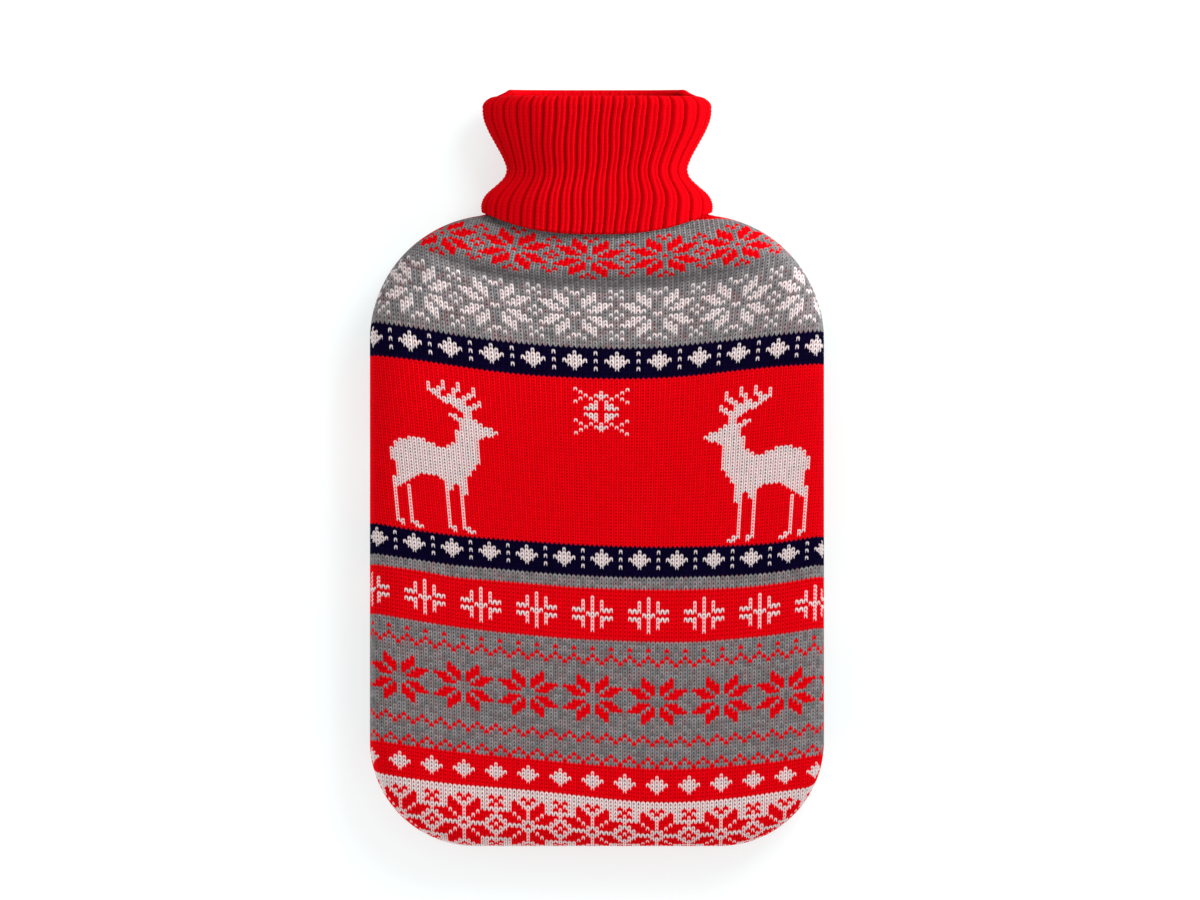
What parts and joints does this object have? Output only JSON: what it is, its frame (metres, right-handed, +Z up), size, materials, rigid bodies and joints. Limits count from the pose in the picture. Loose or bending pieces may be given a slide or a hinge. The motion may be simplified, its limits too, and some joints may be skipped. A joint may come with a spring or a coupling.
{
  "type": "knitted hot water bottle cover",
  "caption": "Hollow knitted cover for a hot water bottle, filled out and lying on its back, with patterned front and back panels and a turned-down ribbed collar.",
  "frame": {"origin": "centre of the bounding box at the surface that the cover lies on", "axes": "+X across the cover, +Y along it from the bottom edge to the open mouth, +Z up from the back panel to the front panel"},
  "size_m": [0.21, 0.35, 0.0467],
  "materials": {
    "panel_knit": "matt stranded wool-like knit in grey, red, off-white and navy",
    "rib_knit": "matt red rib knit"
  },
  "bodies": {
    "root": {"front_panel": "panel_knit", "back_panel": "panel_knit", "collar": "rib_knit"}
  },
  "joints": []
}
